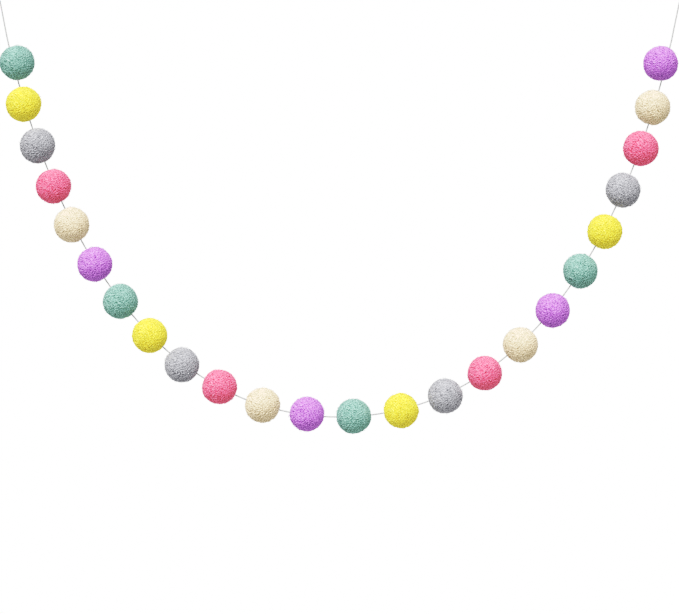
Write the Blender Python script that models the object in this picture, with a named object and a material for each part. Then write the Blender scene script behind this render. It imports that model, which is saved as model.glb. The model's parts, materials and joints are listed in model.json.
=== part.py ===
# Felt ball garland: round wool felt balls threaded on a thin cotton string that hangs in a deep swag
# between two tied loops. Metres, +Z up, +X along the swag; the swag hangs in the plane Y = 0.
# The origin is the seat of the left loop, the inner top point where its hook carries it.
import math
from collections import namedtuple

import bmesh
import bpy
from mathutils import Euler, Vector, noise

MM = 0.001

# String: thin twisted cotton, and the room the holes leave around it
STRING_WIDTH = 1.0 * MM
CLEARANCE = 0.3 * MM
TUBE_SIDES = 8
STRING_POINTS = 80
ROUTE_STEPS = 24

# The two hooks that carry the garland stand level, this far apart
HOOK_SPAN = 501.1 * MM

# The string's route from the left knot to the right knot, in mm (X, Z)
ROUTE = [
    (4.9, -24.5), (6.9, -34.6), (9.5, -48.2), (12.4, -61.9), (19.4, -88.7), (28.4, -118.3),
    (39.2, -147.8), (51.6, -176.4), (66.1, -204.6), (83.4, -232.1), (103.2, -257.6),
    (125.6, -280.4), (150.6, -299.3), (179.3, -314.6), (210.6, -324.4), (243.4, -328.5),
    (277.6, -326.5), (310.4, -318.6), (340.6, -305.3), (367.7, -287.0), (392.1, -264.3),
    (414.0, -237.6), (432.5, -209.1), (447.8, -180.1), (460.9, -150.6), (471.7, -121.1),
    (481.0, -90.6), (488.6, -60.5), (491.2, -48.2), (494.0, -34.9), (496.2, -24.5),
]

# Each ball: its colour, the step along the string from the ball before it (the first one from the
# string's left end), how far its middle sits off the string towards the inside of the swag, and
# its width, all in mm
Ball = namedtuple("Ball", "colour step beside width")
BALLS = [
    Ball("teal", 50.9, 2.9, 24.9),
    Ball("yellow", 30.1, -0.8, 25.0),
    Ball("grey", 31.4, -0.6, 25.1),
    Ball("pink", 31.3, -0.9, 25.1),
    Ball("cream", 30.6, -1.0, 25.2),
    Ball("purple", 32.9, -0.3, 24.9),
    Ball("teal", 32.5, -0.7, 24.9),
    Ball("yellow", 32.2, -0.6, 25.0),
    Ball("grey", 31.6, -1.3, 25.1),
    Ball("pink", 31.1, 0.1, 25.1),
    Ball("cream", 33.6, 0.2, 25.2),
    Ball("purple", 32.9, 0.8, 24.9),
    Ball("teal", 33.7, 0.3, 24.9),
    Ball("yellow", 34.2, -0.8, 25.0),
    Ball("grey", 33.4, -1.1, 25.1),
    Ball("pink", 32.8, -0.6, 25.1),
    Ball("cream", 33.0, -0.5, 25.2),
    Ball("purple", 34.0, -0.5, 24.9),
    Ball("teal", 34.4, -0.1, 24.9),
    Ball("yellow", 33.4, -0.7, 25.0),
    Ball("grey", 32.5, 0.3, 25.1),
    Ball("pink", 32.6, -0.2, 25.1),
    Ball("cream", 30.9, 0.8, 25.2),
    Ball("purple", 31.8, 3.5, 24.9),
]

# Felting leaves each ball a little uneven: slow lumps and flats over the sphere
LUMP_HEIGHT = 0.35 * MM
LUMPS_PER_RADIUS = 1.3
BALL_SUBDIVISIONS = 3

# Hanging loops: a teardrop of the string's own end, from its seat down to the knot, in mm (X, Z)
# below the seat; only the right half is listed, from the top to the legs inside the knot
LOOP_HALF = [(0.0, 0.5), (2.7, -0.7), (4.2, -4.2), (3.9, -9.5), (2.5, -15.0), (1.1, -19.6), (0.7, -21.6)]
LOOP_FOOT = (0.0, -22.4)
LOOP_STEPS = 3
KNOT_MIDDLE = -22.4 * MM
KNOT_CORE = (1.3 * MM, 1.3 * MM, 1.9 * MM)
CORE_SUBDIVISIONS = 2
KNOT_TURNS = 2.0
KNOT_TURN_RADIUS = 1.2 * MM
KNOT_PITCH = 1.15 * MM
KNOT_STEPS = 10
TAIL = [(0.3, -22.6), (1.6, -23.2), (2.9, -25.2), (3.6, -28.0)]

COLOURS = {
    "teal": (150, 190, 180),
    "yellow": (240, 230, 120),
    "grey": (180, 180, 184),
    "pink": (234, 132, 164),
    "cream": (228, 219, 194),
    "purple": (205, 146, 218),
    "string": (222, 222, 220),
}


def linear(level):
    """One 8-bit sRGB level as Blender's linear value."""
    share = level / 255
    return share / 12.92 if share <= 0.04045 else ((share + 0.055) / 1.055) ** 2.4


def clear_scene():
    for thing in list(bpy.data.objects):
        bpy.data.objects.remove(thing, do_unlink=True)


def make_material(name, roughness):
    material = bpy.data.materials.new(name)
    material.use_nodes = True
    shader = material.node_tree.nodes["Principled BSDF"]
    shader.inputs["Base Color"].default_value = (*(linear(v) for v in COLOURS[name]), 1.0)
    shader.inputs["Roughness"].default_value = roughness
    shader.inputs["Metallic"].default_value = 0.0
    return material


def add_object(name, data, material=None, parent=None):
    thing = bpy.data.objects.new(name, data)
    bpy.context.scene.collection.objects.link(thing)
    if material:
        data.materials.append(material)
    thing.parent = parent
    return thing


def hide_cutter(thing):
    thing.hide_render = True
    thing.display_type = "WIRE"


def smooth_line(points, steps, closed=False):
    """A Catmull-Rom curve through the points, with that many steps from each to the next."""
    count = len(points)
    spans = count if closed else count - 1
    if closed:
        around = [points[-1], *points, points[0], points[1]]
    else:
        around = [2 * points[0] - points[1], *points, 2 * points[-1] - points[-2]]
    line = []
    for span in range(spans):
        before, start, end, after = around[span : span + 4]
        for step in range(steps):
            t = step / steps
            line.append(
                start
                + (end - before) * (t / 2)
                + (2 * before - 5 * start + 4 * end - after) * (t**2 / 2)
                + (3 * start - before - 3 * end + after) * (t**3 / 2)
            )
    if not closed:
        line.append(points[-1])
    return line


def distances(line):
    """How far along the line each of its points lies."""
    total = [0.0]
    for first, second in zip(line, line[1:]):
        total.append(total[-1] + (second - first).length)
    return total


def at_distance(line, total, distance):
    """The point of the line at a distance along it, and the line's direction there."""
    span = next(k for k in range(1, len(line)) if total[k] >= distance or k == len(line) - 1)
    first, second = line[span - 1], line[span]
    share = (distance - total[span - 1]) / (total[span] - total[span - 1])
    return first.lerp(second, min(share, 1.0)), (second - first).normalized()


def evenly(line, count):
    """The same line with that many points at equal distances."""
    total = distances(line)
    return [at_distance(line, total, total[-1] * k / (count - 1))[0] for k in range(count)]


def tube_curve(name, line, radius, closed=False):
    curve = bpy.data.curves.new(name, "CURVE")
    curve.dimensions = "3D"
    curve.bevel_depth = radius
    curve.bevel_resolution = TUBE_SIDES // 2 - 2
    curve.use_fill_caps = True
    spline = curve.splines.new("POLY")
    spline.points.add(len(line) - 1)
    for point, place in zip(spline.points, line):
        point.co = (*place, 1.0)
    spline.use_cyclic_u = closed
    return curve


def tube_mesh(name, line, radius, closed=False):
    """The tube as a closed mesh, which can be cut with or joined."""
    guide = add_object(name, tube_curve(name, line, radius, closed))
    depsgraph = bpy.context.evaluated_depsgraph_get()
    mesh = bpy.data.meshes.new_from_object(guide.evaluated_get(depsgraph))
    bpy.data.objects.remove(guide, do_unlink=True)
    shape = bmesh.new()
    shape.from_mesh(mesh)
    bmesh.ops.remove_doubles(shape, verts=shape.verts, dist=radius / 1000)
    bmesh.ops.recalc_face_normals(shape, faces=shape.faces)
    shape.to_mesh(mesh)
    shape.free()
    return mesh


def boolean(thing, cutter, operation):
    change = thing.modifiers.new(cutter.name, "BOOLEAN")
    change.operation = operation
    change.solver = "EXACT"
    change.object = cutter


def lump(direction, number):
    """How far the felt stands out of the true sphere there, for one ball."""
    shift = Vector((number * 3.7, number * 1.9, number * 5.3))
    return LUMP_HEIGHT * noise.noise(direction * LUMPS_PER_RADIUS + shift)


def ball_mesh(number, ball):
    shape = bmesh.new()
    bmesh.ops.create_icosphere(shape, subdivisions=BALL_SUBDIVISIONS, radius=1.0)
    for vertex in shape.verts:
        direction = vertex.co.normalized()
        vertex.co = direction * (ball.width * MM / 2 + lump(direction, number))
    mesh = bpy.data.meshes.new(f"felt_ball_{number:02d}")
    shape.to_mesh(mesh)
    shape.free()
    mesh.shade_smooth()
    return mesh


def make_balls(line, materials, parent):
    """Each ball at its place on the string, with the string's hole through it."""
    hole = add_object(
        "string_hole", tube_mesh("string_hole", evenly(line, STRING_POINTS), hole_radius()), parent=parent
    )
    hide_cutter(hole)
    total = distances(line)
    along = 0.0
    for number, ball in enumerate(BALLS, 1):
        along += ball.step * MM
        place, direction = at_distance(line, total, along)
        inward = Vector((-direction.z, 0.0, direction.x))
        name = f"felt_ball_{number:02d}"
        thing = add_object(name, ball_mesh(number, ball), materials[ball.colour], parent)
        thing.location = place + inward * (ball.beside * MM)
        boolean(thing, hole, "DIFFERENCE")


def hole_radius():
    """The hole's flats stand the clearance off the string's own corners."""
    return (STRING_WIDTH / 2 + CLEARANCE) / math.cos(math.pi / TUBE_SIDES)


def from_mm(pairs, side=1):
    return [Vector((side * x * MM, 0.0, z * MM)) for x, z in pairs]


def make_loop(name, seat, string_end, side, material, parent):
    """A hanging loop with its knot, tail and the short stub that meets the string's end."""
    radius = STRING_WIDTH / 2
    other_half = [(-x, z) for x, z in reversed(LOOP_HALF[1:])]
    outline = smooth_line(from_mm([*LOOP_HALF, LOOP_FOOT, *other_half]), LOOP_STEPS, closed=True)
    loop = add_object(name, tube_mesh(name, outline, radius, closed=True), material, parent)
    loop.data.shade_smooth()
    pull = seat - string_end
    loop.location = seat
    loop.rotation_euler = Euler((0.0, math.atan2(pull.x, pull.z), 0.0))

    core = bmesh.new()
    bmesh.ops.create_icosphere(core, subdivisions=CORE_SUBDIVISIONS, radius=1.0)
    bmesh.ops.scale(core, vec=KNOT_CORE, verts=core.verts)
    bmesh.ops.translate(core, vec=(0.0, 0.0, KNOT_MIDDLE), verts=core.verts)
    core_mesh = bpy.data.meshes.new(f"{name}_core")
    core.to_mesh(core_mesh)
    core.free()

    wraps = []
    steps = round(KNOT_TURNS * KNOT_STEPS)
    for step in range(steps + 1):
        turn = step / KNOT_STEPS
        angle = 2 * math.pi * turn
        height = KNOT_MIDDLE + (KNOT_TURNS / 2 - turn) * KNOT_PITCH
        wraps.append(
            Vector((KNOT_TURN_RADIUS * math.cos(angle), KNOT_TURN_RADIUS * math.sin(angle), height))
        )

    stub = [Vector((0, 0, KNOT_MIDDLE)), Vector((0, 0, CLEARANCE - pull.length))]
    tail = smooth_line(from_mm(TAIL, side), LOOP_STEPS)
    pieces = {
        "core": core_mesh,
        "wraps": tube_mesh(f"{name}_wraps", wraps, radius),
        "stub": tube_mesh(f"{name}_stub", stub, radius),
        "tail": tube_mesh(f"{name}_tail", tail, radius),
    }
    for piece, mesh in pieces.items():
        joined = add_object(f"{name}_{piece}", mesh, parent=loop)
        hide_cutter(joined)
        boolean(loop, joined, "UNION")


def main():
    clear_scene()
    materials = {
        name: make_material(name, 0.8 if name == "string" else 0.95) for name in COLOURS
    }
    garland = add_object("garland", None)
    line = smooth_line(from_mm(ROUTE), ROUTE_STEPS)
    string_line = evenly(line, STRING_POINTS)
    add_object("string", tube_curve("string", string_line, STRING_WIDTH / 2), materials["string"], garland)
    make_balls(line, materials, garland)
    left_seat = Vector((0.0, 0.0, 0.0))
    right_seat = Vector((HOOK_SPAN, 0.0, 0.0))
    make_loop("left_loop", left_seat, string_line[0], -1, materials["string"], garland)
    make_loop("right_loop", right_seat, string_line[-1], 1, materials["string"], garland)


main()
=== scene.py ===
# Looks of the felt ball garland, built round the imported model: matted wool balls on a twisted cotton
# string with a tied hanging loop at each end. Run it with Blender 4.5.
import json
import math
import random

import bmesh
import bpy
import numpy as np
from mathutils import Euler, Matrix, Vector, noise

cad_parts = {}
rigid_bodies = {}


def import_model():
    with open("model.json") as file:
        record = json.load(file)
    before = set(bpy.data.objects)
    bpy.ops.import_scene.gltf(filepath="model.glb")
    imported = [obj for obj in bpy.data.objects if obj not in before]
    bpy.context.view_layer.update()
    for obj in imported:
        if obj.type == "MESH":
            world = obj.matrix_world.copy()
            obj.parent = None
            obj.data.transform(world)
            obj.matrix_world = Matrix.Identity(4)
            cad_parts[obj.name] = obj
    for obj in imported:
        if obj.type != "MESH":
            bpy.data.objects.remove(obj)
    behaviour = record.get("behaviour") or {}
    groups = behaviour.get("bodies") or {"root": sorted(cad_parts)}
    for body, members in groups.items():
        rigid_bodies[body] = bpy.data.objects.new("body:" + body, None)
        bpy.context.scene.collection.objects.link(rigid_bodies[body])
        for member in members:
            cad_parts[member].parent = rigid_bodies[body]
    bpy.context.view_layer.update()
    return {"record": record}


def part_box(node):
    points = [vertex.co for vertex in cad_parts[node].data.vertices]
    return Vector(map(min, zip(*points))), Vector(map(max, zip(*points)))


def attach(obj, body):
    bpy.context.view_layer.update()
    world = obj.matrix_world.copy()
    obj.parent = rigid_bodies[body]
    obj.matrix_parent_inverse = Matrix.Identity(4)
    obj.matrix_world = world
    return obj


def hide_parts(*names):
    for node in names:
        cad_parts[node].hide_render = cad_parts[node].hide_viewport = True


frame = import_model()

mm = 0.001
scene = bpy.context.scene


# Shader and geometry nodes, written as sums and calls

class Wire:  # one output socket; sums and products of wires add Math nodes
    def __init__(self, nodes, socket):
        self.nodes = nodes
        self.socket = socket

    def maths(self, operation, *others, swap=False):
        values = [*others, self] if swap else [self, *others]
        return self.nodes.node("ShaderNodeMath", {"operation": operation}, dict(enumerate(values)))

    def vector(self, operation, *others, output=0):
        values = dict(enumerate([self, *others]))
        return self.nodes.node("ShaderNodeVectorMath", {"operation": operation}, values, output)

    def scaled(self, amount):  # a vector times a number
        return self.nodes.node("ShaderNodeVectorMath", {"operation": "SCALE"}, {0: self, "Scale": amount})

    def clamped(self):
        return self.nodes.node("ShaderNodeClamp", inputs={"Value": self})

    def beside(self, output):  # another output of the same node
        return Wire(self.nodes, self.socket.node.outputs[output])

    def __add__(self, other):
        return self.maths("ADD", other)

    __radd__ = __add__

    def __mul__(self, other):
        return self.maths("MULTIPLY", other)

    __rmul__ = __mul__

    def __sub__(self, other):
        return self.maths("SUBTRACT", other)

    def __rsub__(self, other):
        return self.maths("SUBTRACT", other, swap=True)

    def __abs__(self):
        return self.maths("ABSOLUTE")


# Sockets that can't be told apart by name: a Mix node's two colours and its result, a Random Value's
# low end, high end and result for each kind, and the way of a Gabor texture in three dimensions
mixSockets = (6, 7, 2)
randomSockets = {"FLOAT_VECTOR": (0, 1, 0), "FLOAT": (2, 3, 1), "INT": (4, 5, 2)}
gaborWaySocket = 5


class Nodes:  # a node tree and one way to add any node to it
    def __init__(self, tree):
        self.tree = tree

    def plug(self, value, socket):
        if isinstance(value, Wire):
            self.tree.links.new(value.socket, socket)
        else:
            socket.default_value = value

    def node(self, kind, settings=None, inputs=None, output=0):
        made = self.tree.nodes.new(kind)
        for name, value in (settings or {}).items():
            setattr(made, name, value)
        for name, value in (inputs or {}).items():
            self.plug(value, made.inputs[name])
        return Wire(self, made.outputs[output])

    def mix(self, factor, first, second):  # two colours
        firstSocket, secondSocket, result = mixSockets
        values = {"Factor": factor, firstSocket: first, secondSocket: second}
        return self.node("ShaderNodeMix", {"data_type": "RGBA"}, values, result)

    def random(self, kind, low, high, seed=0):
        lowSocket, highSocket, result = randomSockets[kind]
        values = {lowSocket: low, highSocket: high, "Seed": seed}
        return self.node("FunctionNodeRandomValue", {"data_type": kind}, values, result)

    def keep(self, geometry, domain, name, value):  # stores a number on each point or instance
        return self.node(
            "GeometryNodeStoreNamedAttribute",
            {"data_type": "FLOAT", "domain": domain},
            {"Geometry": geometry, "Name": name, "Value": value},
        )


class Finish(Nodes):  # a material with its Principled shader
    def __init__(self, name, **constants):
        self.material = bpy.data.materials.new(name)
        self.material.use_nodes = True
        super().__init__(self.material.node_tree)
        self.shader = self.tree.nodes["Principled BSDF"]
        for label, value in constants.items():
            self.shader.inputs[label.replace("_", " ")].default_value = value

    def wear(self, label, value):
        self.plug(value, self.shader.inputs[label])

    def objectPlace(self):
        return self.node("ShaderNodeTexCoord", output="Object")

    def kept(self, name):  # a number stored on the mesh
        return self.node("ShaderNodeAttribute", {"attribute_name": name}, output="Fac")

    def noise(self, place, scale, detail, output=0):
        values = {"Vector": place, "Scale": scale, "Detail": detail}
        return self.node("ShaderNodeTexNoise", {}, values, output)

    def bump(self, strength, distance, height):
        values = {"Strength": strength, "Distance": distance, "Height": height}
        return self.node("ShaderNodeBump", {}, values)


def fromLevels(levels):  # 8-bit sRGB levels to Blender's linear colour
    shares = [level / 255 for level in levels]
    return (*(s / 12.92 if s <= 0.04045 else ((s + 0.055) / 1.055) ** 2.4 for s in shares), 1.0)


# Lines and tubes

def smoothLine(points, steps):  # Catmull-Rom through the points
    around = [2 * points[0] - points[1], *points, 2 * points[-1] - points[-2]]
    line = []
    for span in range(len(points) - 1):
        before, start, end, after = around[span : span + 4]
        for step in range(steps):
            t = step / steps
            line.append(
                start
                + (end - before) * (t / 2)
                + (2 * before - 5 * start + 4 * end - after) * (t**2 / 2)
                + (3 * start - before - 3 * end + after) * (t**3 / 2)
            )
    line.append(points[-1])
    return line


def lengthOf(line):
    return sum((b - a).length for a, b in zip(line, line[1:]))


def evenly(line, spacing):  # the same line with points at equal distances
    count = max(2, round(lengthOf(line) / spacing) + 1)
    places = np.array([tuple(p) for p in line])
    along = np.concatenate([[0.0], np.cumsum(np.linalg.norm(np.diff(places, axis=0), axis=1))])
    wanted = np.linspace(0.0, along[-1], count)
    return [Vector(p) for p in np.stack([np.interp(wanted, along, places[:, k]) for k in range(3)], 1)]


def newObject(name, data):
    made = bpy.data.objects.new(name, data)
    scene.collection.objects.link(made)
    return made


def finishedMesh(thing):  # the mesh with its modifiers and bevels worked in
    depsgraph = bpy.context.evaluated_depsgraph_get()
    return bpy.data.meshes.new_from_object(thing.evaluated_get(depsgraph))


def readEach(things, name, kind, width=1):  # one value of every vertex, corner or face, as an array
    values = np.zeros(len(things) * width, kind)
    things.foreach_get(name, values)
    return values.reshape(-1, width) if width > 1 else values


def setBakeMap(mesh, uv):  # the map into which a finish is baked
    layer = mesh.uv_layers.new(name="OFBake")
    layer.data.foreach_set("uv", uv.astype(np.float32).ravel())


# The string: its route is the solids' own route, in mm

string = {
    "diameter": 1.0 * mm,
    "plies": 3,
    "lay": 3.6 * mm,          # one full turn of the plies
    "ringSpacing": 0.42 * mm,
    "sidesPerPly": 4,
    "groove": 0.17,           # how deep the grooves between plies are, as a share of the radius
    "routeSteps": 24,         # steps of the smooth curve from one point of the route to the next
}

stringRoute = [
    (4.9, -24.5), (6.9, -34.6), (9.5, -48.2), (12.4, -61.9), (19.4, -88.7), (28.4, -118.3),
    (39.2, -147.8), (51.6, -176.4), (66.1, -204.6), (83.4, -232.1), (103.2, -257.6),
    (125.6, -280.4), (150.6, -299.3), (179.3, -314.6), (210.6, -324.4), (243.4, -328.5),
    (277.6, -326.5), (310.4, -318.6), (340.6, -305.3), (367.7, -287.0), (392.1, -264.3),
    (414.0, -237.6), (432.5, -209.1), (447.8, -180.1), (460.9, -150.6), (471.7, -121.1),
    (481.0, -90.6), (488.6, -60.5), (491.2, -48.2), (494.0, -34.9), (496.2, -24.5),
]


cottonLook = {
    "grooveShade": (170, 170, 170),       # painted shade in the grooves; both in 8-bit sRGB levels
    "crests": (216, 216, 215),
    "fuzzScale": 2600.0,              # waves per metre
    "cloudScale": 180.0,
    "ply": 0.7,                       # the shares of the plies' painted groove shade, the fuzz and the clouds in the colour
    "fuzz": 0.3,
    "cloud": 0.3,
    "bumpStrength": 0.4,
    "bumpDepth": 0.05 * mm,
}


def cottonFinish():
    cotton = Finish(
        "twisted_cotton", Roughness=0.85, Specular_IOR_Level=0.25, Sheen_Weight=0.2, Sheen_Roughness=0.5
    )
    place = cotton.objectPlace()
    fuzz = cotton.noise(place, cottonLook["fuzzScale"], 3.0)
    cloud = cotton.noise(place, cottonLook["cloudScale"], 1.0)
    # the plies' height darkens the grooves: painted shade
    shade = cotton.kept("height") * cottonLook["ply"] + fuzz * cottonLook["fuzz"]
    shade = (shade + (cloud - 0.5) * cottonLook["cloud"]).clamped()
    colour = cotton.mix(shade, fromLevels(cottonLook["grooveShade"]), fromLevels(cottonLook["crests"]))
    cotton.wear("Base Color", colour)
    cotton.wear("Normal", cotton.bump(cottonLook["bumpStrength"], cottonLook["bumpDepth"], fuzz))
    return cotton.material


def pliesProfile():  # the cross-section: round plies with grooves between them
    count = string["plies"] * string["sidesPerPly"]
    profile = bpy.data.curves.new("plies_profile", "CURVE")
    spline = profile.splines.new("POLY")
    spline.points.add(count - 1)
    for k, point in enumerate(spline.points):
        angle = 2 * math.pi * k / count
        groove = string["groove"] * (1 - math.cos(string["plies"] * angle)) / 2
        reach = string["diameter"] / 2 * (1 - groove)
        point.co = (reach * math.cos(angle), reach * math.sin(angle), 0.0, 1.0)
    spline.use_cyclic_u = True
    return newObject("plies_profile", profile)


def twistedTube(name, line, profile):
    curve = bpy.data.curves.new(name, "CURVE")
    curve.dimensions = "3D"
    curve.bevel_mode = "OBJECT"
    curve.bevel_object = profile
    curve.use_fill_caps = True
    places = evenly(line, string["ringSpacing"])
    spline = curve.splines.new("POLY")
    spline.points.add(len(places) - 1)
    step = lengthOf(places) / (len(places) - 1)
    for k, (point, place) in enumerate(zip(spline.points, places)):
        point.co = (*place, 1.0)
        point.tilt = 2 * math.pi * (k * step / string["lay"] % 1)  # a tilt past 60 turns is cut off
    guide = newObject(name + "_guide", curve)
    mesh = finishedMesh(guide)
    bpy.data.objects.remove(guide)
    mesh.name = name
    layOutTube(mesh, string["plies"] * string["sidesPerPly"], len(places))
    keepPlyHeight(mesh, string["plies"] * string["sidesPerPly"])
    mesh.shade_smooth()
    return mesh, places


tubeMap = {
    "lengthways": 2,           # above 1, it is finer along the string than round it
    "margin": 0.06,            # free margin of a row, as a share of it
    "capMiddle": 0.995,        # where both end caps lie, in the map's last corner
    "capRadius": 0.004,
}


def layOutTube(mesh, sides, rings):  # a bake map in rows, each one a stretch of the tube
    rows = max(1, round(math.sqrt(rings / sides) * tubeMap["lengthways"]))
    ringsPerRow = math.ceil(rings / rows)
    first = readEach(mesh.polygons, "loop_start", np.int32)
    count = readEach(mesh.polygons, "loop_total", np.int32)
    vertex = readEach(mesh.loops, "vertex_index", np.int32)
    uv = np.zeros((len(mesh.loops), 2), np.float32)
    quads = count == 4
    corners = first[quads][:, None] + np.arange(4)
    ring, side = vertex[corners] // sides, vertex[corners] % sides
    start = ring.min(1, keepdims=True)
    side = np.where((side == 0) & (side.max(1, keepdims=True) == sides - 1), sides, side)
    row = start // ringsPerRow
    uv[corners, 0] = (start % ringsPerRow + ring - start) / ringsPerRow
    uv[corners, 1] = (row + tubeMap["margin"] + (1 - 2 * tubeMap["margin"]) * side / sides) / rows
    for face in np.flatnonzero(~quads):  # the two caps
        loops = first[face] + np.arange(count[face])
        turn = 2 * math.pi * np.arange(count[face]) / count[face]
        circle = np.stack([np.cos(turn), np.sin(turn)], 1)
        uv[loops] = tubeMap["capMiddle"] + tubeMap["capRadius"] * circle
    setBakeMap(mesh, uv)


def keepPlyHeight(mesh, sides):  # how high each point lies between the grooves, 0, and the crests, 1
    turns = 2 * math.pi * (np.arange(len(mesh.vertices)) % sides) / sides
    height = (1 + np.cos(string["plies"] * turns)) / 2
    attribute = mesh.attributes.new("height", "FLOAT", "POINT")
    attribute.data.foreach_set("value", height.astype(np.float32))


def makeString(profile, material):
    route = smoothLine([Vector((x * mm, 0.0, z * mm)) for x, z in stringRoute], string["routeSteps"])
    mesh, places = twistedTube("string_twisted", route, profile)
    mesh.materials.append(material)
    made = newObject("string_twisted", mesh)
    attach(made, "root")
    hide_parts("string")
    print("string:", round(lengthOf(places), 4), "m,", len(mesh.polygons), "faces")
    return made, places


# Hanging loops: the string's own end goes up, round the hook, down, twice round itself and hangs free

loop = {
    "points": [  # across, to the viewer and up, in mm from the seat, before the turn to the pull
        (0.0, 0.0, -25.0), (0.0, 0.0, -23.6), (0.0, 0.0, -22.0), (-0.3, 0.0, -20.9),
        (-1.1, 0.0, -19.6), (-2.5, 0.0, -15.0), (-3.9, 0.0, -9.5), (-4.2, 0.0, -4.2),
        (-2.7, 0.0, -0.7), (0.0, 0.0, 0.5), (2.7, 0.0, -0.7), (4.2, 0.0, -4.2),
        (3.9, 0.0, -9.5), (2.5, 0.0, -15.0), (1.3, 0.1, -19.2),
    ],
    "wrapTurns": 2.25,         # the turns round itself, also in mm
    "wrapRadius": 0.97,
    "wrapTop": -20.9,
    "wrapPitch": 1.12,
    "wrapSteps": 10,
    "tail": [(1.7, 0.5, -24.6), (2.8, 0.3, -26.0), (3.6, 0.0, -28.3)],
    "steps": 8,                # steps of the smooth curve from one point to the next
}


def loopLine(side):  # side is -1 for the left loop, whose tail hangs to the left
    wraps = []
    for step in range(round(loop["wrapTurns"] * loop["wrapSteps"]) + 1):
        turn = step / loop["wrapSteps"]
        angle = 2 * math.pi * turn
        wraps.append((
            loop["wrapRadius"] * math.cos(angle),
            -loop["wrapRadius"] * math.sin(angle),
            loop["wrapTop"] - loop["wrapPitch"] * turn,
        ))
    points = [*loop["points"], *wraps, *loop["tail"]]
    return smoothLine([Vector((side * x, -y, z)) * mm for x, y, z in points], loop["steps"])


def makeLoop(side, stringEnd, profile, material):
    name = f"loop_{side}_twisted"
    node = f"{side}_loop"
    mesh, places = twistedTube(name, loopLine(-1 if side == "left" else 1), profile)
    seat = next(Vector(mount["pos_m"]) for mount in frame["record"]["mounts"] if mount["name"] == node)
    pull = seat - stringEnd
    lean = Euler((0.0, math.atan2(pull.x, pull.z), 0.0))
    mesh.transform(Matrix.Translation(seat) @ lean.to_matrix().to_4x4())
    mesh.materials.append(material)
    made = newObject(name, mesh)
    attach(made, "root")
    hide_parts(node)
    print(name + ":", round(lengthOf(places), 4), "m of string")
    return made


# Felt balls

feltColours = {  # each wool's body, pits' painted shade and crests' painted highlight, as 8-bit sRGB levels
    "teal": {"body": (164, 200, 190), "pitShade": (44, 108, 90), "crestHighlight": (200, 221, 214)},
    "yellow": {"body": (255, 244, 107), "pitShade": (224, 168, 6), "crestHighlight": (255, 250, 172)},
    "grey": {"body": (192, 192, 196), "pitShade": (104, 103, 110), "crestHighlight": (213, 213, 217)},
    "pink": {"body": (255, 147, 175), "pitShade": (232, 8, 56), "crestHighlight": (251, 191, 207)},
    "cream": {"body": (244, 229, 201), "pitShade": (194, 173, 132), "crestHighlight": (248, 239, 217)},
    "purple": {"body": (216, 156, 234), "pitShade": (112, 10, 140), "crestHighlight": (234, 199, 245)},
}
colourOrder = list(feltColours)   # along the string, from the left

feltBall = {
    "count": 24,
    "noiseSeed": 5,
    "subdivisions": 6,
    "lumps": (0.35 * mm, 1.3),        # height and waves in a radius, as in the solids
    "dents": (0.08 * mm, 4.2),
    "creases": (0.03 * mm, 7.0),      # between matted locks that cross each other
    "creaseSharpness": 2.2,
    "creaseWarp": 0.06,               # how far the creases bend, as a share of the radius
    "creaseBends": 7.0,
    "ownShift": (3.7, 1.9, 5.3),      # moves the forms on from one ball to the next
    "dimpleDepth": 0.5 * mm,          # where the string goes in
    "dimpleWidth": 1.5 * mm,
    "settle": 0.09 * mm,              # keeps the mean width once the fibres lie on it
    "fibresPerBall": 520,
    "fibreSize": (0.75, 1.25),
    "fibreTone": (0.3, 1.0),          # as the height of a place in the felt, 0 to 1
}

strokes = {  # short strokes of matted wool, all of about one width
    "cells": 400.0,                   # cells a metre, each with its strokes
    "perCell": 1.75,
    "order": 0.7,                     # 1 is all in one way
    "ways": [(1.0, (1.0, 0.35, 1.0)), (1.0, (1.0, -0.35, -1.0)), (0.5, (0.2, 1.0, 0.1))],  # share and way
    "contrast": 2.1,
    "depth": 0.45 * mm,               # from the pits to the crests
}

fibreKinds = {  # how many shapes of each, their sizes, and how far a segment turns, in radians
    "wisp": {"shapes": 5, "length": (2.0 * mm, 3.6 * mm), "radius": 0.08 * mm, "tip": 0.02 * mm,
             "lift": (0.04 * mm, 0.10 * mm), "tuck": -0.14 * mm, "curl": 0.45},
    "lying": {"shapes": 8, "length": (3.0 * mm, 5.5 * mm), "radius": 0.045 * mm, "tip": 0.015 * mm,
              "lift": (0.10 * mm, 0.20 * mm), "tuck": -0.12 * mm, "curl": 0.5},
    "stray": {"shapes": 3, "length": (1.4 * mm, 2.6 * mm), "radius": 0.04 * mm, "tip": 0.015 * mm,
              "lift": (0.4 * mm, 1.0 * mm), "tuck": None, "curl": 0.5},
}
fibreShape = {
    "segments": 4,
    "sides": 3,
    "bedRadius": 12.5 * mm,           # the fibres are bent to lie on a ball of this radius
    "strayBend": 1.4,                 # how late a stray fibre's free end rises
    "seed": 11,
}

feltGrain = {  # in the material: the bends of the wool, fine hairs, and strokes in patches
    "bends": 500.0,                   # waves per metre
    "bendSize": 1.6 * mm,
    "hairs": 3000.0,
    "hairStretch": (1.0, 0.4, 0.16),
    "hairTurns": [(0.1, 0.4, 0.3), (-0.4, -0.5, -0.2), (0.2, 1.4, 0.8)],
    "hairSharpness": 4.0,
    "strokeWidth": 1.42 * mm,         # from one stroke to the next
    "strokeWays": [(1.0, 0.35, 1.0), (1.0, -0.35, -1.0), (0.45, 1.0, -0.5)],
    "patches": 620.0,
    "patchSharpness": 5.0,
    "patchShift": 0.31,
    "lastShare": 0.7,                 # how fully the third way covers the other two
    "hairShare": 0.3,                 # of the bump; the rest is the strokes'
    "bumpDepth": 0.42 * mm,
}

feltShade = {  # adds up to 0 for the painted pit shade, 0.5 for the body colour and 1 for the painted crest highlight
    "start": 0.235,
    "height": 0.34,
    "grain": 0.22,
    "hairs": 0.15,
}


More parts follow.
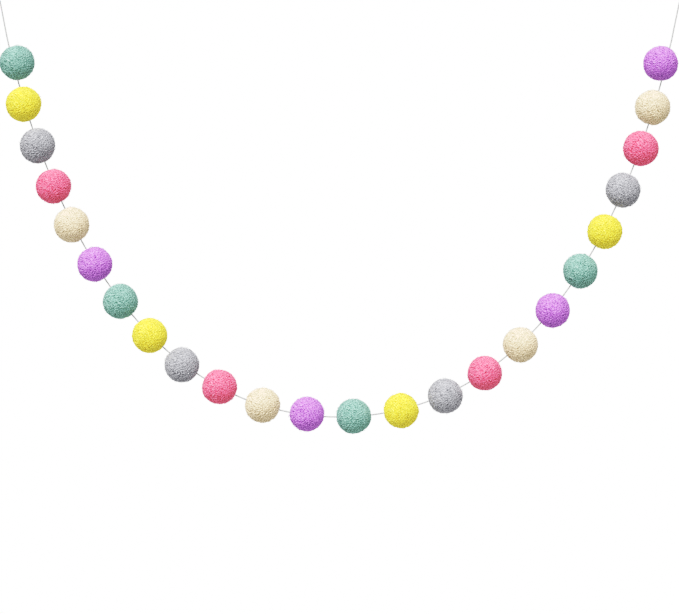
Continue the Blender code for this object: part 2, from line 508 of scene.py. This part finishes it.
def hairRelief(felt, warped):  # fine hairs lying over each other
    top = None
    for turn in feltGrain["hairTurns"]:
        turned = felt.node("ShaderNodeMapping", inputs={"Vector": warped, "Rotation": turn})
        wave = felt.noise(turned.vector("MULTIPLY", feltGrain["hairStretch"]), feltGrain["hairs"], 1.0)
        hair = (1.0 - abs(wave * 2.0 - 1.0) * feltGrain["hairSharpness"]).clamped()
        top = hair if top is None else top.maths("MAXIMUM", hair)
    return top


def patchMask(felt, place, shift):  # 0 in some patches and 1 in others
    patch = felt.noise(place.vector("ADD", (shift, shift, shift)), feltGrain["patches"], 0.0)
    return ((patch - 0.5) * feltGrain["patchSharpness"] + 0.5).clamped()


def grainRelief(felt, place, warped):  # fine strokes of matted wool, each patch lying its own way
    waves = []
    for way in feltGrain["strokeWays"]:
        across = Vector(way).normalized() * (2 * math.pi / feltGrain["strokeWidth"])
        waves.append(warped.vector("DOT_PRODUCT", tuple(across), output=1).maths("SINE"))
    first, second, third = waves
    mixed = first + (second - first) * patchMask(felt, place, 0.0)
    last = patchMask(felt, place, feltGrain["patchShift"]) * feltGrain["lastShare"]
    mixed = mixed + (third - mixed) * last
    return mixed * 0.5 + 0.5


def feltFinish(colour):
    look = feltColours[colour]
    felt = Finish(
        colour + "_felt",
        Roughness=0.75,
        IOR=1.8,
        Specular_IOR_Level=1.0,
        Sheen_Weight=0.1,
        Sheen_Roughness=0.6,
    )
    place = felt.objectPlace()
    stir = felt.noise(place, feltGrain["bends"], 1.0, output="Color").vector("SUBTRACT", (0.5, 0.5, 0.5))
    warped = place.vector("ADD", stir.scaled(feltGrain["bendSize"]))
    hairs = hairRelief(felt, warped)
    grain = grainRelief(felt, place, warped)
    # painted shade darkens the dents and painted highlight lightens the crests; the fibres' tones vary at
    # random
    shade = felt.kept("height") * feltShade["height"] + (grain - 0.5) * feltShade["grain"]
    shade = (shade + hairs * feltShade["hairs"] + feltShade["start"]).clamped()
    low = felt.mix((shade * 2.0).clamped(), fromLevels(look["pitShade"]), fromLevels(look["body"]))
    felt.wear("Base Color", felt.mix((shade * 2.0 - 1.0).clamped(), low, fromLevels(look["crestHighlight"])))
    relief = hairs * feltGrain["hairShare"] + grain * (1 - feltGrain["hairShare"])
    felt.wear("Normal", felt.bump(1.0, feltGrain["bumpDepth"], relief))
    return felt.material


def fibreLine(kind, draw):  # one fibre's path over a bed curved like the ball
    length = draw.uniform(*kind["length"])
    lift = draw.uniform(*kind["lift"])
    segments = fibreShape["segments"]
    heading, x, y = 0.0, -length / 2, 0.0
    line = []
    for k in range(segments + 1):
        t = k / segments
        if kind["tuck"] is None:  # one end stands free
            rise = lift * t ** fibreShape["strayBend"]
        else:
            rise = kind["tuck"] + (lift - kind["tuck"]) * math.sin(math.pi * t)
        line.append(Vector((x, y, rise - (x * x + y * y) / 2 / fibreShape["bedRadius"])))
        heading += draw.gauss(0.0, kind["curl"])
        x += length / segments * math.cos(heading)
        y += length / segments * math.sin(heading)
    return line


def fibreMesh(name, kind, draw):  # rings swept along the path and bridged, with closed ends
    line = fibreLine(kind, draw)
    last = len(line) - 1
    shape = bmesh.new()
    rings = []
    for k, place in enumerate(line):
        ahead = (line[min(k + 1, last)] - line[max(k - 1, 0)]).normalized()
        turned = Matrix.Translation(place) @ ahead.to_track_quat("Z", "X").to_matrix().to_4x4()
        isEnd = k in (0, last)
        radius = kind["tip"] if isEnd else kind["radius"]
        ring = bmesh.ops.create_circle(
            shape, cap_ends=isEnd, segments=fibreShape["sides"], radius=radius, matrix=turned
        )
        rings.append({edge for vertex in ring["verts"] for edge in vertex.link_edges})
    for first, second in zip(rings, rings[1:]):
        bmesh.ops.bridge_loops(shape, edges=[*first, *second])
    bmesh.ops.recalc_face_normals(shape, faces=shape.faces)
    mesh = bpy.data.meshes.new(name)
    shape.to_mesh(mesh)
    shape.free()
    mesh.shade_smooth()
    return mesh


def makeFibres():  # short wool fibres, made once and scattered over every ball
    draw = random.Random(fibreShape["seed"])
    group = bpy.data.collections.new("wool_fibres")
    scene.collection.children.link(group)
    for name, kind in fibreKinds.items():
        for number in range(kind["shapes"]):
            mesh = fibreMesh(f"{name}_{number:02d}", kind, draw)
            group.objects.link(bpy.data.objects.new(mesh.name, mesh))
    return group


def strokeRelief(nodes, bare):  # raises and dents the felt, and keeps each point's height for its colour
    place = nodes.node("GeometryNodeInputPosition")
    total = None
    for share, way in strokes["ways"]:
        wave = nodes.node(
            "ShaderNodeTexGabor",
            {"gabor_type": "3D"},
            {"Vector": place, "Scale": strokes["cells"], "Frequency": strokes["perCell"],
             "Anisotropy": strokes["order"], gaborWaySocket: way},
        )
        part = (wave - 0.5) * share
        total = part if total is None else total + part
    # the finish also turns this height into painted shade in the dents and painted highlight on the
    # crests
    kept = nodes.keep(bare, "POINT", "height", total * strokes["contrast"] + 0.5)
    read = nodes.node("GeometryNodeInputNamedAttribute", {"data_type": "FLOAT"}, {"Name": "height"})
    out = nodes.node("GeometryNodeInputNormal").scaled((read - 0.5) * strokes["depth"])
    return nodes.node("GeometryNodeSetPosition", inputs={"Geometry": kept, "Offset": out})


def scatterTree(group):  # geometry nodes: the ball with fibres laid over it at random
    tree = bpy.data.node_groups.new("felted_fibres", "GeometryNodeTree")
    for name, kind in (("Geometry", "Geometry"), ("Seed", "Int"), ("Density", "Float")):
        tree.interface.new_socket(name, in_out="INPUT", socket_type="NodeSocket" + kind)
    tree.interface.new_socket("Geometry", in_out="OUTPUT", socket_type="NodeSocketGeometry")
    nodes = Nodes(tree)
    bare = nodes.node("NodeGroupInput", output="Geometry")
    seed = bare.beside("Seed")
    ball = strokeRelief(nodes, bare)
    points = nodes.node(
        "GeometryNodeDistributePointsOnFaces",
        {"distribute_method": "RANDOM"},
        {"Mesh": ball, "Density": bare.beside("Density"), "Seed": seed},
        output="Points",
    )
    spin = nodes.random("FLOAT_VECTOR", (0.0, 0.0, 0.0), (0.0, 0.0, 2 * math.pi), seed)
    turn = nodes.node("FunctionNodeEulerToRotation", inputs={"Euler": spin})
    laid = nodes.node(
        "FunctionNodeRotateRotation",
        {"rotation_space": "LOCAL"},
        {"Rotation": points.beside("Rotation"), "Rotate By": turn},
    )
    kinds = nodes.node(
        "GeometryNodeCollectionInfo",
        inputs={"Collection": group, "Separate Children": True, "Reset Children": True},
    )
    pick = nodes.random("INT", 0, sum(kind["shapes"] for kind in fibreKinds.values()) - 1)
    scattered = nodes.node(
        "GeometryNodeInstanceOnPoints",
        inputs={"Points": points, "Instance": kinds, "Pick Instance": True, "Instance Index": pick,
                "Rotation": laid, "Scale": nodes.random("FLOAT", *feltBall["fibreSize"])},
    )
    toned = nodes.keep(scattered, "INSTANCE", "height", nodes.random("FLOAT", *feltBall["fibreTone"]))
    marked = nodes.keep(toned, "INSTANCE", "fibre", 1.0)
    real = nodes.node("GeometryNodeRealizeInstances", inputs={"Geometry": marked})
    joined = nodes.node("GeometryNodeJoinGeometry", inputs={"Geometry": ball})
    nodes.plug(real, joined.socket.node.inputs["Geometry"])
    nodes.plug(joined, tree.nodes.new("NodeGroupOutput").inputs["Geometry"])
    return tree


ballMap = {
    "edge": 0.03,          # free margin round each square, as a share of it
    "ballShare": 0.74,     # height of the part for the ball
    "fibreShare": 0.24,    # height of the part for the fibres, above it
    "fibreColumns": 48,
    "fibreEdge": 0.15,     # free margin round each fibre, as a share of its cell
}


def stringCrossings(places, middle, reach):  # the directions in which the string leaves a ball
    out = []
    for first, second in zip(places, places[1:]):
        if ((first - middle).length - reach) * ((second - middle).length - reach) <= 0:
            out.append(((first + second) / 2 - middle).normalized())
    return out


def feltReach(way, radius, shift, crossings):  # how far from its middle a ball reaches that way
    lump = feltBall["lumps"][0] * noise.noise(way * feltBall["lumps"][1] + shift)
    dent = feltBall["dents"][0] * noise.noise(way * feltBall["dents"][1] + shift)
    bent = way + feltBall["creaseWarp"] * noise.noise_vector(way * feltBall["creaseBends"] + shift)
    crease = 0.5 - feltBall["creaseSharpness"] * abs(noise.noise(bent * feltBall["creases"][1] + shift))
    reach = radius - feltBall["settle"] + lump + dent
    reach += feltBall["creases"][0] * crease
    for crossing in crossings:
        away = (way - crossing).length * radius
        reach -= feltBall["dimpleDepth"] * math.exp(-((away / feltBall["dimpleWidth"]) ** 2))
    return reach


def feltSurface(number, middle, radius, crossings):
    shape = bmesh.new()
    bmesh.ops.create_icosphere(shape, subdivisions=feltBall["subdivisions"], radius=1.0)
    noise.seed_set(feltBall["noiseSeed"])  # unseeded, noise_vector changes from run to run
    shift = Vector([number * step for step in feltBall["ownShift"]])
    for vertex in shape.verts:
        way = vertex.co.normalized()
        vertex.co = middle + way * feltReach(way, radius, shift, crossings)
    mesh = bpy.data.meshes.new(f"felt_{number:02d}")
    shape.to_mesh(mesh)
    shape.free()
    mesh.shade_smooth()
    return mesh


def cubeSquares(fromMiddle, faces):  # where each corner lies on the six squares of a cube round the ball
    rows = np.arange(len(faces))
    axis = np.abs(faces).argmax(1)
    square = axis * 2 + (faces[rows, axis] < 0)
    main = np.abs(fromMiddle[rows, axis])
    across = np.arctan(fromMiddle[rows, (axis + 1) % 3] / main) / (math.pi / 2) + 0.5
    upward = np.arctan(fromMiddle[rows, (axis + 2) % 3] / main) / (math.pi / 2) + 0.5
    inner = 1 - 2 * ballMap["edge"]
    return np.stack([
        (square % 3 + ballMap["edge"] + inner * across) / 3,
        (square // 3 + ballMap["edge"] + inner * upward) / 2 * ballMap["ballShare"],
    ], 1)


def fibreCells(point, fibres):  # one small cell for each fibre, in rows from the top
    sides = fibreShape["sides"]
    perFibre = (fibreShape["segments"] + 1) * sides
    columns = ballMap["fibreColumns"]
    cellHeight = ballMap["fibreShare"] / math.ceil(fibres / perFibre / columns)
    inner = 1 - 2 * ballMap["fibreEdge"]
    number, ring, side = point // perFibre, point % perFibre // sides, point % sides
    return np.stack([
        (number % columns + ballMap["fibreEdge"] + inner * ring / fibreShape["segments"]) / columns,
        1 - (number // columns + ballMap["fibreEdge"] + inner * side / (sides - 1)) * cellHeight,
    ], 1)


def layOutBall(mesh, middle):  # a bake map: the ball in six squares, and the fibres above them
    vertex = readEach(mesh.loops, "vertex_index", np.int32)
    places = readEach(mesh.vertices, "co", np.float32, 3) - np.array(middle, np.float32)
    faces = readEach(mesh.polygons, "center", np.float32, 3) - np.array(middle, np.float32)
    sizes = readEach(mesh.polygons, "loop_total", np.int32)
    onFibre = readEach(mesh.attributes["fibre"].data, "value", np.float32) > 0.5
    uv = cubeSquares(places[vertex], np.repeat(faces, sizes, axis=0))
    strands = np.flatnonzero(onFibre)
    uv[onFibre[vertex]] = fibreCells(vertex[onFibre[vertex]] - strands[0], len(strands))
    setBakeMap(mesh, uv)
    mesh.attributes.remove(mesh.attributes["fibre"])


def feltTogether(made, tree, seed, density):  # works the strokes and fibres into the ball's mesh
    scatter = made.modifiers.new("fibres", "NODES")
    scatter.node_group = tree
    sockets = {s.name: s.identifier for s in tree.interface.items_tree if s.in_out == "INPUT"}
    scatter[sockets["Seed"]] = seed
    scatter[sockets["Density"]] = density
    bare = made.data
    made.data = finishedMesh(made)
    made.modifiers.clear()
    bpy.data.meshes.remove(bare)


def makeBall(number, places, finishes, tree):
    node = f"felt_ball_{number:02d}"
    colour = colourOrder[(number - 1) % len(colourOrder)]
    low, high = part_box(node)
    middle = (low + high) / 2
    width = sum(high - low) / 3
    crossings = stringCrossings(places, middle, width / 2)
    made = newObject(f"{colour}_felt_{number:02d}", feltSurface(number, middle, width / 2, crossings))
    feltTogether(made, tree, number, feltBall["fibresPerBall"] / (math.pi * width**2))
    layOutBall(made.data, middle)
    made.data.materials.clear()
    made.data.materials.append(finishes[colour])
    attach(made, "root")
    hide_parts(node)
    made.visible_diffuse = False  # keeps each wool's colour off the balls beside it
    return made


# Stage, light and camera

studio = {
    "pixelSize": 0.72 * mm,      # the picture's scale in the plane of the garland
    "pictureSize": (679, 614),
    "originPixel": (-8.6, -40.0),   # the left loop's seat, just outside the picture
    "distance": 2.0,
    "sensor": 36.0,
    "farthest": 20.0,
    "floorHeight": -0.62,
    "floorSize": 2.0,
    "floorTone": 0.93,
    "skyLight": 0.72,
    "skySheen": 0.1,            # the share of it that shows in anything's gloss
    "skyFall": 0.16,            # how much stronger the light is from above, and weaker from below
    "keyStrength": 1.72,
    "keySpread": 0.25,
    "keyWay": (-0.28, -1.0, 1.08),
    "fillStrength": 0.5,
    "fillSpread": 0.6,
    "fillWay": (0.25, 1.0, 0.3),
    "toneCurve": [(0.13, 0.03), (0.25, 0.12), (0.38, 0.33), (0.55, 0.6), (0.72, 0.8), (0.87, 0.905)],
}


def aimPoint():  # the point of the garland's plane in the middle of the picture
    x, z = (
        ((size - 1) / 2 - origin) * studio["pixelSize"]
        for size, origin in zip(studio["pictureSize"], studio["originPixel"])
    )
    return Vector((x, 0.0, -z))


def placeCamera(aim):
    camera = newObject("camera", bpy.data.cameras.new("camera"))
    camera.location = aim - Vector((0.0, studio["distance"], 0.0))
    camera.rotation_euler = Euler((math.pi / 2, 0.0, 0.0))
    camera.data.sensor_width = studio["sensor"]
    seenWidth = studio["pictureSize"][0] * studio["pixelSize"]
    camera.data.lens = studio["sensor"] * studio["distance"] / seenWidth
    camera.data.clip_end = studio["farthest"]
    scene.camera = camera


def layFloor(aim):
    floorShape = bmesh.new()
    bmesh.ops.create_grid(floorShape, x_segments=1, y_segments=1, size=studio["floorSize"] / 2)
    floorMesh = bpy.data.meshes.new("floor")
    floorShape.to_mesh(floorMesh)
    floorShape.free()
    floorFinish = Finish("pale_floor", Roughness=0.9)
    pale = studio["floorTone"]
    floorFinish.wear("Base Color", (pale, pale, pale, 1.0))
    floorMesh.materials.append(floorFinish.material)
    floor = newObject("floor", floorMesh)
    floor.location = (aim.x, 0.0, studio["floorHeight"])
    floor.visible_diffuse = False


def hangLamps(aim):  # the fill comes from behind and leaves the front as it is
    for name in ("key", "fill"):
        lamp = newObject(name + "_light", bpy.data.lights.new(name + "_light", "SUN"))
        lamp.data.angle = studio[name + "Spread"]
        lamp.data.energy = studio[name + "Strength"]
        lamp.location = aim + Vector(studio[name + "Way"])
        lamp.rotation_euler = (aim - lamp.location).to_track_quat("-Z", "Y").to_euler()


def lightSky():  # the camera sees plain white, and the garland gets a weaker light
    world = bpy.data.worlds.new("white_studio")
    world.use_nodes = True
    scene.world = world
    sky = Nodes(world.node_tree)
    background = world.node_tree.nodes["Background"]
    sky.plug((1.0, 1.0, 1.0, 1.0), background.inputs["Color"])
    seen = sky.node("ShaderNodeLightPath", output="Is Camera Ray")
    mirrored = seen.beside("Is Glossy Ray")
    way = sky.node("ShaderNodeTexCoord", output="Generated")
    up = sky.node("ShaderNodeSeparateXYZ", inputs={"Vector": way}, output="Z")
    light = (up * studio["skyFall"] + studio["skyLight"]) * (1.0 - mirrored * (1.0 - studio["skySheen"]))
    sky.plug(seen + (1.0 - seen) * light, background.inputs["Strength"])


def setTones():  # deepens the shades and lifts the lights
    scene.view_settings.view_transform = "Standard"
    scene.view_settings.use_curve_mapping = True
    tone = scene.view_settings.curve_mapping
    for x, y in studio["toneCurve"]:
        tone.curves[3].points.new(x, y)
    tone.update()


def setStage():
    aim = aimPoint()
    placeCamera(aim)
    layFloor(aim)
    hangLamps(aim)
    lightSky()
    setTones()
    print("stage set")


def main():
    setStage()
    cotton = cottonFinish()
    profile = pliesProfile()
    twisted, places = makeString(profile, cotton)
    loops = [
        makeLoop("left", places[0], profile, cotton),
        makeLoop("right", places[-1], profile, cotton),
    ]
    bpy.data.objects.remove(profile)
    lengthOf(places)
    finishes = {colour: feltFinish(colour) for colour in colourOrder}
    fibres = makeFibres()
    tree = scatterTree(fibres)
    faces = 0
    for number in range(1, feltBall["count"] + 1):
        ball = makeBall(number, places, finishes, tree)
        faces += len(ball.data.polygons)
    print("felt balls:", feltBall["count"], "with", faces, "faces")
    for strand in list(fibres.objects):
        bpy.data.objects.remove(strand)
    bpy.data.collections.remove(fibres)
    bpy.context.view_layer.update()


main()
